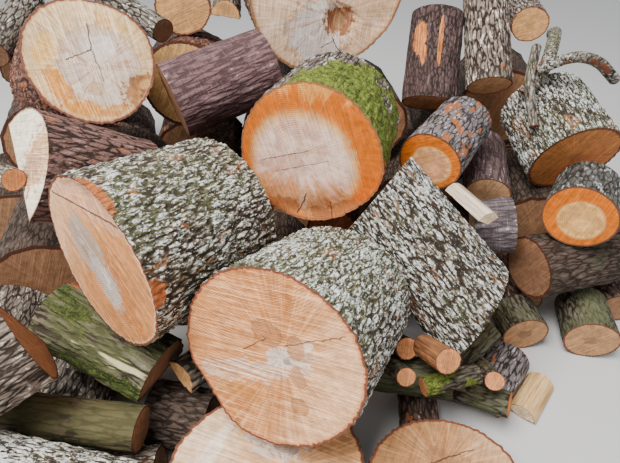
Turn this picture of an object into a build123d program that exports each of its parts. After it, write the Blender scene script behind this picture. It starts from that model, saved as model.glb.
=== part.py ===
from build123d import *
from dataclasses import dataclass
from math import ceil, cos, exp, pi, radians, sin, sqrt, tan
import os

import numpy as np
from scipy.optimize import linprog

os.makedirs("parts", exist_ok=True)

# A heap of logs sawn to stove length, tipped onto level ground. Millimetres, +Z up.
# The heap leans away from -Y, the side that shows most of the sawn ends.

# Sizes of the large logs
left_log_length = 390
left_log_across = 395
front_log_length = 350
front_log_across = 418
right_log_length = 415
right_log_across = 270
mossy_round_length = 265
mossy_round_across = 405
pale_round_length = 330
pale_round_across = 370
rotten_round_length = 380
rotten_round_across = 500
brown_log_length = 335
brown_log_across = 245
split_log_length = 330
split_log_across = 330
bottom_round_height = 200
bottom_round_across = 440
side_round_height = 190
side_round_across = 345
far_lichen_length = 260
far_lichen_across = 295
ring_round_length = 220
ring_round_across = 200

# Sizes that the other logs share
hidden_length = 380
hidden_across = 370
inner_length = 370
inner_across = 280
branch_across = 60

# What the logs have in common, and how far one is moved to find its seat
bark_taper = 0.96
seat_clearance = 0.3
settle_reach = 30
search_reach = 200

# A log's outline is a curve through points, or plain flats where it is thin or out of sight
outline_points = 16
flat_sides = 16
thin_across = 120
hidden_names = ("ground_logs", "inner_logs")

# How finely logs and branches are enclosed for seating
outline_error = 0.3
limb_sides = 24
limb_steps = 20

# A branch bends with a radius that takes this share of the shorter run beside the bend
bend_share = 0.45

DOWN = (0, 0, -1)
INWARD = (0, 0.7, -0.7)
RIGHT = (1, 0, 0)
BACK = (0, 1, 0)
ANY_WAY = (INWARD, DOWN, RIGHT, BACK)


@dataclass
class Log:
    """One log: the middle of its near sawn end, the way its length runs, and its section."""
    node: str
    at: tuple
    turn: float
    tilt: float
    length: float
    across: float
    ways: tuple = ANY_WAY
    settles: tuple = (DOWN, BACK)
    wedge: float = 360
    roll: float = 0
    oval: float = 0.03
    lobes: float = 0.015
    taper: float = bark_taper
    near_cut: tuple = (0, 0)
    far_cut: tuple = (0, 0)
    dent: tuple = (0, 0, 1)

    def on_ground(self):
        """The same log let down to the ground where it is."""
        self.move(np.array([0, 0, -self.hulls()[0][:, 2].min()]))
        return self

    def axes(self):
        """Unit vectors along the log, level across it, and square to both."""
        turn = radians(self.turn)
        tilt = radians(self.tilt)
        along = np.array([cos(turn) * cos(tilt), sin(turn) * cos(tilt), sin(tilt)])
        level = np.array([sin(turn), -cos(turn), 0])
        return along, level, np.cross(level, along)

    def flat_sided(self):
        """Whether the bark is made of plain flats."""
        return self.across < thin_across or self.node.startswith(hidden_names)

    def radius(self, angle):
        """Distance from the heart to the bark: a round with two-fold and three-fold lobes and one dent."""
        turned = radians(angle - self.roll)
        where, depth, width = self.dent
        off = (angle - where + 180) % 360 - 180
        lobed = 1 + self.oval * cos(2 * turned) + self.lobes * cos(3 * turned)
        return self.across / 2 * (lobed - depth * exp(-((off / width) ** 2)))

    def bark_angles(self, count):
        """Angles round the bark, all the way for a whole log and over the wedge for a split one."""
        if self.wedge == 360:
            return [360 * step / count for step in range(count)]
        steps = max(3, round(count * self.wedge / 360))
        return [self.roll - self.wedge / 2 + self.wedge * step / steps for step in range(steps + 1)]

    def cut_plane(self, far):
        """The plane of one sawn end, turned from square by its two cut angles."""
        along, level, upright = self.axes()
        slant, lean = self.far_cut if far else self.near_cut
        middle = np.array(self.at, float) + along * self.length * far
        normal = along + level * np.tan(radians(slant)) + upright * np.tan(radians(lean))
        return middle, normal / np.linalg.norm(normal)

    def ring(self, far, count, swell=1.0):
        """Points in space round one sawn end, where the bark meets the saw cut."""
        along, level, upright = self.axes()
        middle, normal = self.cut_plane(far)
        scale = swell * (self.taper if far else 1)
        points = []
        for angle in self.bark_angles(count):
            out = (level * cos(radians(angle)) + upright * sin(radians(angle))) * self.radius(angle) * scale
            points.append(middle + out - along * out.dot(normal) / along.dot(normal))
        return points

    def hulls(self):
        """Points that enclose the log, for seating it. The ring has more points on a thicker log."""
        count = max(24, ceil(pi * sqrt(self.across / 2 / outline_error)))
        swell = 1 / cos(pi / count)
        if self.flat_sided():
            count = flat_sides
            swell = 1
        points = []
        for far in (0, 1):
            points += self.ring(far, count, swell)
            if self.wedge < 180:
                points.append(self.cut_plane(far)[0])
        return [np.array(points)]

    def move(self, way):
        self.at = tuple(np.array(self.at) + way)


@dataclass
class Limb:
    """A thin crooked branch: straight runs through its points, with a round bend at each one."""
    node: str
    points: tuple
    across: float
    ways: tuple = (INWARD, DOWN)
    settles: tuple = ()

    def route(self):
        """The line that the branch follows."""
        points = [Vector(*point) for point in self.points]
        bends = []
        for before, corner, after in zip(points, points[1:], points[2:]):
            shorter = min((corner - before).length, (after - corner).length)
            turn = radians((corner - before).get_angle(after - corner))
            bends.append(bend_share * shorter / tan(turn / 2))
        with BuildLine() as line:
            FilletPolyline(*points, radius=bends)
        return line.line

    def hulls(self):
        """Points that enclose each short stretch of the branch, for seating it."""
        route = self.route()
        swell = self.across / 2 / cos(pi / limb_sides)
        angles = [2 * pi * side / limb_sides for side in range(limb_sides)]
        corners = [(swell * cos(angle), swell * sin(angle)) for angle in angles]
        rings = []
        for step in range(limb_steps + 1):
            section = Plane(origin=route @ (step / limb_steps), z_dir=route % (step / limb_steps))
            rings.append([tuple(section.from_local_coords(Vector(*corner))) for corner in corners])
        return [np.array(rings[step] + rings[step + 1]) for step in range(limb_steps)]

    def move(self, way):
        self.points = tuple(tuple(float(value) for value in np.array(point) + way) for point in self.points)


def passage(moving, fixed, way, sides):
    """Where along a way the moving hull meets the fixed one and leaves it, or None if it passes by."""
    for side, room in [(side, 0) for side in sides] + [(way, search_reach * np.linalg.norm(way))]:
        ahead = (fixed @ side).min() - (moving @ side).max()
        behind = (moving @ side).min() - (fixed @ side).max()
        if max(ahead, behind) > room:
            return None
    count = len(moving) + len(fixed)
    equal = np.zeros((5, count + 1))
    equal[:3, : len(moving)] = moving.T
    equal[:3, len(moving) : count] = -fixed.T
    equal[:3, count] = way
    equal[3, : len(moving)] = 1
    equal[4, len(moving) : count] = 1
    cost = np.zeros(count + 1)
    ends = []
    for sign in (1, -1):
        cost[count] = sign
        bounds = [(0, None)] * count + [(None, None)]
        answer = linprog(cost, A_eq=equal, b_eq=[0, 0, 0, 1, 1], bounds=bounds)
        if answer.status != 0:
            return None
        ends.append(answer.x[count] - sign * seat_clearance)
    return ends


def rests(hulls, laid, way):
    """Distances along a way at which the hulls touch another or the ground and overlap nothing."""
    way = np.array(way, float)
    aside = ((1, 0, 0), (0, 1, 0), (0, 0, 1), (1, 1, 1), (-1, 1, 1), (1, -1, 1))
    sides = [np.cross(way, direction) for direction in aside]
    found = [passage(hull, other, way, sides) for hull in hulls for other in laid]
    passages = [ends for ends in found if ends]
    stops = [start for start, end in passages]
    if way[2] < 0:
        floor = min(hull[:, 2].min() for hull in hulls) / -way[2]
        stops = [stop for stop in stops if stop < floor] + [floor]
    else:
        stops += [end for start, end in passages]
    stops = [stop for stop in stops if abs(stop) < search_reach]
    return [stop for stop in stops if not any(start + 0.01 < stop < end - 0.01 for start, end in passages)]


def lay(log, laid):
    """Seat a log by the shortest of its ways, then settle it if that brings it to rest on more."""
    hulls = log.hulls()

    def move(shift):
        log.move(shift)
        for hull in hulls:
            hull += shift

    move(np.array([0, 0, max(0, -min(hull[:, 2].min() for hull in hulls))]))
    for ways in (log.ways, ANY_WAY):
        choices = [(abs(stop), stop, way) for way in ways for stop in rests(hulls, laid, way)]
        if choices or not ways:
            break
    if choices:
        distance, stop, way = min(choices)
        move(np.array(way) * stop)
        for way in log.settles:
            nearest = [stop for stop in rests(hulls, laid, way) if 0 < stop <= settle_reach]
            if nearest:
                move(np.array(way) * min(nearest))
    laid += hulls


def grounded(node, x, y, turn, length, across, ways=(), **more):
    """A log lying level on the ground."""
    return Log(node, (x, y, 0), turn, 0, length, across, ways, (), **more).on_ground()


def standing(node, x, y, height, across, ways=(), **more):
    """A round standing on its lower sawn end."""
    return Log(node, (x, y, height), 90, -90, height, across, ways, (), **more).on_ground()


heap = [
    # Rounds that stand at the front
    standing("bottom_round", -98, -728, bottom_round_height, bottom_round_across, roll=40),
    standing("bottom_round_right", 305, -752, side_round_height, side_round_across, (RIGHT,), roll=20),
    # Logs that lie on the ground, mostly under the others
    grounded("ground_logs_front", -110, -180, 95, hidden_length, hidden_across - 100),
    grounded("ground_logs_front", 195, -140, 88, hidden_length, hidden_across - 40, (RIGHT,)),
    grounded("ground_logs_front", -450, -130, 92, hidden_length, hidden_across, (RIGHT,)),
    grounded("ground_logs_front", -830, -140, 105, hidden_length, hidden_across + 10, (RIGHT,)),
    grounded("ground_logs_front", 520, -110, 86, hidden_length, hidden_across - 100, (RIGHT,)),
    grounded("ground_logs_middle", 30, 260, 91, hidden_length, hidden_across + 10, (BACK,)),
    grounded("ground_logs_middle", -360, 310, 94, hidden_length, hidden_across, (RIGHT,)),
    grounded("ground_logs_middle", -745, 290, 100, hidden_length, hidden_across + 20, (RIGHT,)),
    grounded("ground_logs_middle", 420, 300, 86, hidden_length, hidden_across, (RIGHT,)),
    grounded("ground_logs_middle", 850, 120, 80, hidden_length, hidden_across + 10, (RIGHT,)),
    grounded("ground_logs_middle", -1130, 190, 112, hidden_length, hidden_across - 30, (RIGHT,)),
    grounded("ground_logs_back", 200, 690, 88, hidden_length, hidden_across, (BACK,)),
    grounded("ground_logs_back", -190, 730, 92, hidden_length, hidden_across - 20, (RIGHT,)),
    grounded("ground_logs_back", -560, 745, 98, hidden_length, hidden_across, (RIGHT,)),
    grounded("ground_logs_back", 590, 730, 84, hidden_length, hidden_across - 10, (RIGHT,)),
    grounded("ground_logs_back", 930, 620, 78, hidden_length, hidden_across - 60, (RIGHT,)),
    grounded("ground_logs_back", -930, 730, 105, hidden_length, hidden_across - 10, (RIGHT,)),
    grounded("dark_furrowed_log", -500, -500, -12, 165, 170, (RIGHT,)),
    grounded("ground_logs_left", -880, -530, 100, hidden_length, hidden_across - 110, (BACK,)),
    grounded("ground_logs_left", -645, -540, 90, hidden_length - 40, hidden_across - 170, (RIGHT,)),
    grounded("ground_logs_left", -360, -780, 184, hidden_length, hidden_across - 190, (BACK,)),
    grounded("ground_logs_right", 745, -190, 92, 200, 120, (BACK,)),
    grounded("ground_logs_right", 1050, -190, 88, 260, 130, (BACK,)),
    grounded("ground_logs_right", 290, -500, 84, 190, 110, (BACK,)),
    grounded("knotted_log", 885, -260, 77, 170, 160, (BACK,)),
    # Second layer, hidden under the top logs
    Log("inner_logs", (-100, 400, 510), 88, 0, inner_length, inner_across + 10, (DOWN,)),
    Log("inner_logs", (225, 420, 510), 94, 0, inner_length, inner_across, (DOWN,)),
    Log("inner_logs", (505, 420, 480), 86, 0, inner_length, inner_across - 80, (DOWN,)),
    Log("inner_logs", (-560, 780, 540), 96, 0, inner_length, inner_across + 50, (DOWN,)),
    Log("inner_logs", (-930, 300, 510), 110, 0, inner_length, inner_across + 20, (DOWN,)),
    Log("inner_logs", (-390, 160, 440), 82, 0, inner_length, inner_across - 130, (DOWN,)),
    Log("inner_logs", (790, 640, 450), 80, 0, inner_length, inner_across + 60, (DOWN,)),
    Log("inner_logs", (-150, 780, 510), 93, 0, inner_length, inner_across, (DOWN,)),
    Log("inner_logs", (70, -100, 400), 80, 0, inner_length - 60, inner_across - 120, (DOWN,)),
    Log("inner_logs", (-910, 760, 520), 104, 0, inner_length, inner_across + 20, (DOWN,)),
    Log("rough_bark_log", (690, -130, 225), 16, -2, 400, 200, (DOWN,)),
    # The large logs on top
    Log("lichen_log_left", (-462, -439, 568), 56, -10, left_log_length, left_log_across,
        roll=127, oval=0.06, near_cut=(4, 3)),
    Log("mossy_round", (0, -119, 655), 72, 0, mossy_round_length, mossy_round_across,
        roll=90, oval=0.02, dent=(312, 0.09, 34)),
    Log("lichen_log_right", (185, -120, 530), -37, -37, right_log_length, right_log_across,
        taper=1.05, near_cut=(-6, 8), far_cut=(-11, 13)),
    Log("lichen_log_front", (-85, -572, 416), 63, -19, front_log_length, front_log_across,
        roll=20, oval=0.02, dent=(228, 0.10, 16)),
    Log("split_log_left", (-767, -160, 635), 44, -33, split_log_length, split_log_across,
        wedge=180, roll=60),
    Log("pale_round", (-634, 178, 810), 134, -28, pale_round_length, pale_round_across,
        roll=20, dent=(60, 0.05, 25)),
    Log("ochre_rotten_log", (-445, 430, 640), 92, -8, 330, 310),
    Log("brown_bark_log", (-445, 225, 675), 26, 12, brown_log_length, brown_log_across),
    Log("rotten_round", (58, 447, 925), 104, 2, rotten_round_length, rotten_round_across,
        roll=10, oval=0.04, lobes=0.03),
    Log("lichen_log_far_right", (860, 140, 505), 100, 20, far_lichen_length, far_lichen_across),
    Log("yew_ring_round", (785, -106, 445), 57, -5, ring_round_length, ring_round_across),
    Log("dark_cherry_log", (417, 379, 640), 80, 52, 310, 185),
    Log("grey_brown_log", (590, 370, 665), 90, 45, 360, 150),
    Log("yew_log", (355, 3, 555), 57, 2, 310, 190),
    Log("purple_brown_log", (600, 120, 370), 78, 9, 280, 155),
    Log("striped_bark_log", (640, -20, 345), 171, -10, 120, 180),
    Log("white_striped_splinter", (481, -20, 487), 106, -4, 180, 75, (BACK, INWARD), wedge=120, roll=90),
    Log("small_orange_round", (-452, 591, 915), 100, -2, 330, 190),
    Log("grey_corner_log", (-1060, 500, 840), 124, 11, 330, 130, (RIGHT, INWARD)),
    Log("grey_branch", (-480, 487, 815), 142, 14, 440, 85),
    Log("splintered_billet", (-350, 534, 840), 96, 0, 300, 110, wedge=180, roll=80),
    Log("grey_top_left_log", (-970, 281, 795), 90, 15, 330, 105),
    Log("brown_round_top_right", (785, 940, 745), 82, 5, 300, 165),
    Log("orange_round_top_right", (955, 925, 720), 78, 2, 280, 150),
    Limb("grey_limb_long", ((860, 560, 760), (800, 420, 800), (760, 330, 720), (700, 300, 640)), 42),
    Limb("grey_limb_arched", ((720, 330, 690), (800, 300, 745), (900, 330, 720), (1010, 380, 640)), 34),
    Limb("grey_limb_short", ((700, 200, 560), (690, 300, 660), (740, 420, 740)), 30),
    Log("gnarled_bark_piece", (500, 640, 860), 20, 12, 190, 120, wedge=150, roll=90),
    Log("left_branch_stub", (-723, -267, 690), 145, -7, 260, branch_across),
    # The broken and split pieces at the front
    Log("olive_billet", (380, -470, 170), 165, -10, 220, branch_across + 50, (DOWN, INWARD, RIGHT)),
    Log("olive_billet", (440, -505, 120), 150, -14, 190, branch_across + 10, (DOWN, INWARD, RIGHT)),
    grounded("weathered_round", 690, -305, 93, 110, 145, (BACK,)),
    Log("torn_orange_log", (545, -307, 205), -147, -21, 170, 70),
    grounded("split_cherry_log", 495, -480, 49, 190, 140, (BACK, RIGHT), wedge=180, roll=60),
    grounded("cream_chunk", 600, -470, 48, 150, 90, (BACK, RIGHT), wedge=150, roll=90),
    Log("mossy_thin_branch", (424, -444, 192), -165, 0, 150, branch_across - 8),
    Log("cut_branch_right", (435, -505, 225), 78, -40, 160, branch_across - 10),
    Log("small_branch_upper", (252, -444, 272), 105, -40, 230, branch_across),
    Log("small_branch_lower", (226, -474, 232), 98, -42, 150, branch_across - 15),
    Log("torn_branch", (325, -440, 250), 106, -33, 120, branch_across + 8),
    Log("mossy_split_log", (-684, -358, 299), -23, -14, 330, 210, wedge=180, roll=100),
    Log("pale_bark_piece", (-310, -490, 210), 55, -15, 180, 110, wedge=150, roll=60),
    Log("half_log_left", (-635, -530, 475), 219, -9, 330, 290, wedge=180, roll=200),
    Log("olive_log", (-395, -640, 215), 174, 3, 350, 105, (DOWN, RIGHT)),
    Log("white_lichen_corner_log", (-430, -800, 235), 169, 5, 340, 165),
]

laid = []
for log in heap:
    lay(log, laid)

# The origin is under the middle of the heap, on the ground
corners = np.vstack(laid)
middle = (corners.min(axis=0) + corners.max(axis=0)) / 2
for log in heap:
    log.move(np.array([-middle[0], -middle[1], 0]))


# Solids
def limb_solid(limb):
    """The branch, swept along its line."""
    with BuildPart() as solid:
        route = limb.route()
        with BuildSketch(Plane(origin=route @ 0, z_dir=route % 0)):
            RegularPolygon(limb.across / 2, flat_sides)
        sweep(path=route)
    return solid.part


def log_solid(log):
    """The log between its two saw cuts."""
    count = flat_sides if log.flat_sided() else outline_points
    with BuildPart() as solid:
        for far in (0, 1):
            origin, normal = log.cut_plane(far)
            cut = Plane(origin=tuple(origin), z_dir=tuple(normal))
            points = [cut.to_local_coords(Vector(*point)) for point in log.ring(far, count)]
            with BuildSketch(cut):
                with BuildLine():
                    if log.flat_sided():
                        Polyline(*points)
                    elif log.wedge < 360:
                        Spline(*points)
                    else:
                        Spline(*points, periodic=True)
                    if log.flat_sided() or log.wedge < 360:
                        corners = [points[-1], points[0]]
                        if log.wedge < 180:
                            corners.insert(1, Vector(0, 0, 0))
                        Polyline(*corners)
                make_face()
        loft(ruled=True)
    return solid.part


nodes = {}
for log in heap:
    solid = limb_solid(log) if isinstance(log, Limb) else log_solid(log)
    nodes.setdefault(log.node, []).append(solid)

for name, solids in nodes.items():
    piece = solids[0] if len(solids) == 1 else Compound(children=solids)
    piece.label = name
    export_step(piece, f"parts/{name}.step")
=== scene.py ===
from math import cos, radians, sin, tau

import bpy
import numpy as np
from bpy.props import FloatProperty, FloatVectorProperty, PointerProperty
from bpy.types import Operator, Panel, PropertyGroup
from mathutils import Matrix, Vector


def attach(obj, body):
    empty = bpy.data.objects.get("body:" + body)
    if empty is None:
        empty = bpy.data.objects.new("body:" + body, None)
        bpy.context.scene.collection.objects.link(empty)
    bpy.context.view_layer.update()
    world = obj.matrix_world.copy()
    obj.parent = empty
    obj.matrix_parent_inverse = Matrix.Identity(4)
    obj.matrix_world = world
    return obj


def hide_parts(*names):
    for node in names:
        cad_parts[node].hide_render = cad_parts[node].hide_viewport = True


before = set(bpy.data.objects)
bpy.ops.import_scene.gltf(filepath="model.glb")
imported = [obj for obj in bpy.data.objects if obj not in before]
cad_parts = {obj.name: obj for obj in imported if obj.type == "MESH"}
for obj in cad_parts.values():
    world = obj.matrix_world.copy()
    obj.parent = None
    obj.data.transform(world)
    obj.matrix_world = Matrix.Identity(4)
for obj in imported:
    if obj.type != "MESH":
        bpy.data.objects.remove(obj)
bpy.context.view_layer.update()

bl_info = {
    "name": "Heap of logs",
    "version": (1, 0, 0),
    "blender": (4, 5, 0),
    "location": "View3D > Sidebar > Logs",
    "description": "Dresses a heap of sawn logs with bark, lichen, moss and sawn ends",
    "category": "Object",
}

photo_width = 620
photo_focal = 466
sensor_width = 36.0
camera_height = 1.25
camera_pitch = 38.0
camera_ahead = (0.132, -1.350)
lamp_place = (-1.2, -1.4, 4.2)
lamp_target = (0, 0, 0.4)
lamp_size = 2.2

# How finely a log's mesh is divided: points around, cuts along, insets on each end
grades = {
    "finest": (320, 84, 12),
    "large": (200, 44, 8),
    "medium": (128, 30, 5),
    "small": (72, 20, 3),
    "hidden": (48, 8, 2),
}

# A corner of an end is sharp below this cosine, and a side is flat within this share of its width
sharp_cosine = 0.8
flat_share = 0.04

# The ends of a log are among its faces with the most corners, and face apart at least this much
likely_ends = 6
end_facing = -0.55

# An end of a limb has more corners than this, and its faces lie this close to its plane and its edge
limb_end_corners = 10
limb_end_reach = 0.0025
limb_end_size = 1.1

# Flat faces of the CAD meshes are joined within this angle, and edges blunter than the other look smooth
flat_angle = radians(0.4)
smooth_angle = radians(50)

# Shares closer than this count as the same
hair = 0.0001

# How far each log's pattern is moved, by its tone
tone_shift = np.array([7.3, 3.1, 5.7])

# The reliefs: depth, ridges across and along, how ragged, then the facets and the pits of the ends
reliefs = {
    "lichened": (0.9, (1.2, 1.25)),
    "fine_lichened": (0.8, (1.4, 1.4)),
    "lichened_with_facet": (1.0, (1.1, 1.2), 0.5, ((0, -1, 0.134, 0.3),)),
    "mossy": (0.8, (0.75, 0.6), 0.6, ((0.25, 0.97, 0.12, 0.25),)),
    "with_hollow": (0.8, (1.0, 1.0), 0.5, (), ((0.12, 0.11, 0.045, 0.012),)),
    "with_rot": (0.8, (1.0, 1.0), 0.5, (), ((0.045, 0.08, 0.055, 0.022), (0.2, 0.1, 0.06, 0.008))),
    "deep": (1.1, (0.8, 0.5), 0.45),
    "hidden": (0.9,),
    "rough": (0.8,),
    "ridged": (0.7,),
    "long_flakes": (0.5, (0.9, 0.35), 0.6),
    "flaky": (0.45, (0.8, 0.5), 0.6),
    "low_ridges": (0.4, (1.2, 1.2)),
    "thin": (0.25, (0.9, 0.5), 0.7),
    "limb": (0.22, (1.0, 0.5), 0.7),
    "thinnest": (0.18, (0.9, 0.5), 0.7),
}


def length_property(name, description, default):
    return FloatProperty(name=name, description=description, default=default, min=0.0001, unit="LENGTH")


def colour_property(name, description, default):
    return FloatVectorProperty(
        name=name, description=description, default=default, size=3, subtype="COLOR", min=0.0, max=1.0
    )


class BarkSettings(PropertyGroup):
    """Sizes and colours of the bark"""

    furrow_depth: length_property("Furrow depth", "Depth of the furrows in the roughest bark", 0.0085)
    ridge_width: length_property("Ridge width", "Distance between bark ridges, round the log", 0.0175)
    ridge_length: length_property("Ridge length", "Length of a bark ridge along the log", 0.048)
    lump: length_property("Lump", "Height of the broad lumps of a trunk", 0.006)
    limb_grain: length_property("Limb grain", "Spacing of the points on the thin crooked branches", 0.003)
    lichen: colour_property("Lichen", "Pale crust on the bark ridges", (0.72, 0.74, 0.71))
    moss: colour_property("Moss", "Bright green moss", (0.20, 0.25, 0.035))
    algae: colour_property("Algae", "Dull green film on the bark", (0.125, 0.135, 0.06))
    # Furrow colour: partly the bark's own dark brown, partly painted shade in the bottoms of the furrows
    furrow: colour_property("Furrow", "Dark bottom of the furrows", (0.024, 0.016, 0.011))
    inner_bark: colour_property("Inner bark", "Orange-brown bark under the torn outside", (0.42, 0.13, 0.04))


class WoodSettings(PropertyGroup):
    """Sizes and colours of the sawn and split wood"""

    saw_relief: length_property("Saw relief", "Height of the marks that the saw left", 0.0010)
    ring_width: length_property("Ring width", "Distance from one growth ring to the next", 0.0052)
    rim: colour_property("Rim", "Red-brown bark edge of a sawn end", (0.17, 0.055, 0.028))
    tan: colour_property("Tan wood", "Main colour of the tan sawn wood", (0.60, 0.22, 0.06))
    pale: colour_property("Pale wood", "Pale streaks in the tan wood", (0.84, 0.50, 0.28))
    cream: colour_property("Cream wood", "Cream sawn wood", (0.84, 0.55, 0.26))
    orange: colour_property("Orange wood", "Fresh orange ring under the bark", (0.68, 0.155, 0.006))
    crack: colour_property("Crack", "Inside of a crack", (0.10, 0.045, 0.02))


class StageSettings(PropertyGroup):
    """Floor, light and camera"""

    floor_size: length_property("Floor size", "Side of the floor", 14.0)
    floor_colour: colour_property("Floor", "Colour of the floor", (0.62, 0.61, 0.59))
    sky_colour: colour_property("Sky", "Colour of the soft light", (0.93, 0.96, 1.0))
    sky_strength: FloatProperty(name="Soft light", description="Brightness of the soft light", default=0.72)
    key_strength: FloatProperty(name="Lamp", description="Brightness of the large lamp", default=340.0)


class Wire:
    """A socket of a node tree. The usual operators add Math nodes to the tree."""

    def __init__(self, tree, socket):
        self.tree = tree
        self.socket = socket

    def maths(self, kind, *others):
        return node(self.tree, "ShaderNodeMath", {"operation": kind}, dict(enumerate((self, *others))))

    def vector(self, kind, *others, out=0):
        values = dict(enumerate((self, *others)))
        return node(self.tree, "ShaderNodeVectorMath", {"operation": kind}, values, out)

    def __add__(self, other):
        return self.maths("ADD", other)

    def __sub__(self, other):
        return self.maths("SUBTRACT", other)

    def __mul__(self, other):
        return self.maths("MULTIPLY", other)

    def __truediv__(self, other):
        return self.maths("DIVIDE", other)

    def __rsub__(self, other):
        return node(self.tree, "ShaderNodeMath", {"operation": "SUBTRACT"}, {0: other, 1: self})

    __radd__ = __add__
    __rmul__ = __mul__

    def sine(self):
        return self.maths("SINE")

    def least(self, other):
        return self.maths("MINIMUM", other)

    def most(self, other):
        return self.maths("MAXIMUM", other)

    def step(self, low, high):
        """0 below low and 1 above high, with a soft slope between; low may be the larger one."""
        if low > high:
            return 1 - self.step(high, low)
        return node(
            self.tree, "ShaderNodeMapRange", {"interpolation_type": "SMOOTHSTEP"},
            {"Value": self, "From Min": low, "From Max": high},
        )

    def over(self, colour, below):
        """A colour laid over another by this mask."""
        return node(
            self.tree, "ShaderNodeMix", {"data_type": "RGBA"},
            {0: self, 6: rgba(below), 7: rgba(colour)}, 2,
        )

    def stretch(self, scale, shift=(0, 0, 0)):
        """A vector multiplied by a scale for each axis and then shifted."""
        return self.vector("MULTIPLY_ADD", scale, shift)

    def plus(self, other):
        return self.vector("ADD", other)

    def length(self):
        return self.vector("LENGTH", out=1)

    def scaled(self, factor):
        return node(self.tree, "ShaderNodeVectorMath", {"operation": "SCALE"}, {0: self, "Scale": factor})

    def turned(self, angle):
        """A vector turned back about the length of the log, by an angle in degrees."""
        return node(
            self.tree, "ShaderNodeVectorRotate", {"rotation_type": "Z_AXIS"},
            {"Vector": self, "Angle": -radians(angle)},
        )

    def noise(self, scale, detail=3.0, rough=0.5, out=0):
        return node(
            self.tree, "ShaderNodeTexNoise", {},
            {"Vector": self, "Scale": scale, "Detail": detail, "Roughness": rough}, out,
        )

    def cells(self, scale, feature="F1", out="Distance"):
        return node(
            self.tree, "ShaderNodeTexVoronoi", {"feature": feature}, {"Vector": self, "Scale": scale}, out,
        )

    def split(self):
        parts = node(self.tree, "ShaderNodeSeparateXYZ", {}, {"Vector": self})
        return [Wire(self.tree, socket) for socket in parts.socket.node.outputs]


def rgba(colour):
    """A colour for a socket: a link as it is, three numbers with an alpha of 1."""
    if isinstance(colour, Wire):
        return colour
    return (*colour, 1.0)


def shade(colour, factor):
    """A colour made darker or lighter."""
    return tuple(min(part * factor, 1.0) for part in colour)


def node(tree, kind, settings, values, out=0):
    """Add a node: its settings first, then a link or a value for each named or numbered socket."""
    made = tree.nodes.new(kind)
    for name, setting in settings.items():
        setattr(made, name, setting)
    for key, value in values.items():
        if isinstance(value, Wire):
            tree.links.new(value.socket, made.inputs[key])
        else:
            made.inputs[key].default_value = value
    return Wire(tree, made.outputs[out])


def join(tree, *parts):
    """A vector made of three values."""
    return node(tree, "ShaderNodeCombineXYZ", {}, dict(enumerate(parts)))


def pick(items):
    """Deselect everything, then select the given objects and make the first one active."""
    bpy.ops.object.select_all(action="DESELECT")
    for item in items:
        item.select_set(True)
    bpy.context.view_layer.objects.active = items[0]


# The shapes of the logs


def template(grade):
    """A unit log: a cylinder divided along its length, with rings of insets on both ends."""
    around, along, rings = grades[grade]
    bpy.ops.object.select_all(action="DESELECT")
    bpy.ops.mesh.primitive_cylinder_add(vertices=around, radius=1, depth=1, end_fill_type="NGON")
    piece = bpy.context.object
    mesh = piece.data
    bpy.ops.object.mode_set(mode="EDIT")
    bpy.ops.mesh.select_mode(type="EDGE")
    bpy.ops.mesh.select_all(action="DESELECT")
    bpy.ops.object.mode_set(mode="OBJECT")
    for edge in mesh.edges:
        heights = [mesh.vertices[index].co.z for index in edge.vertices]
        edge.select = abs(heights[0] - heights[1]) > 0.5
    bpy.ops.object.mode_set(mode="EDIT")
    bpy.ops.mesh.subdivide(number_cuts=along)
    bpy.ops.mesh.select_mode(type="FACE")
    bpy.ops.mesh.select_all(action="DESELECT")
    bpy.ops.object.mode_set(mode="OBJECT")
    for face in mesh.polygons:
        face.select = len(face.vertices) == around
    bpy.ops.object.mode_set(mode="EDIT")
    for ring in range(rings):
        bpy.ops.mesh.inset(thickness=1 / (rings + 1), depth=0)
    bpy.ops.mesh.poke()
    bpy.ops.object.mode_set(mode="OBJECT")
    return piece


def cad_logs(name):
    """The separate logs of a CAD node, as merged copies with their flat faces joined."""
    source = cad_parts[name]
    copy = source.copy()
    copy.data = source.data.copy()
    copy.parent = None
    for key in list(copy.keys()):
        del copy[key]
    bpy.context.scene.collection.objects.link(copy)
    pick([copy])
    bpy.ops.object.mode_set(mode="EDIT")
    bpy.ops.mesh.select_all(action="SELECT")
    bpy.ops.mesh.remove_doubles(threshold=0.00001)
    bpy.ops.mesh.dissolve_limited(angle_limit=flat_angle)
    bpy.ops.mesh.separate(type="LOOSE")
    bpy.ops.object.mode_set(mode="OBJECT")
    return list(bpy.context.selected_objects)


def corners_of(mesh, face):
    return np.array([mesh.vertices[index].co for index in face.vertices])


def ends_of(mesh):
    """The two sawn ends of a log, the near or upper one first: each as its corners and outward normal."""
    faces = sorted(mesh.polygons, key=lambda face: -len(face.vertices))[:likely_ends]
    pairs = [
        (one, other)
        for one in faces for other in faces
        if one.index < other.index and one.normal.dot(other.normal) < end_facing
    ]
    ends = max(pairs, key=lambda pair: sum(len(face.vertices) for face in pair))
    found = [(corners_of(mesh, face), np.array(face.normal)) for face in ends]
    return sorted(found, key=lambda end: end[0][:, 1].mean() - 0.5 * end[0][:, 2].mean())


def centre_of(corners, normal):
    """The heart of an end: between the middle of its corners and the middle of its box, in its plane."""
    box = (corners.max(axis=0) + corners.min(axis=0)) / 2
    heart = (box + corners.mean(axis=0)) / 2
    return heart - normal * ((heart - corners[0]) @ normal)


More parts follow.
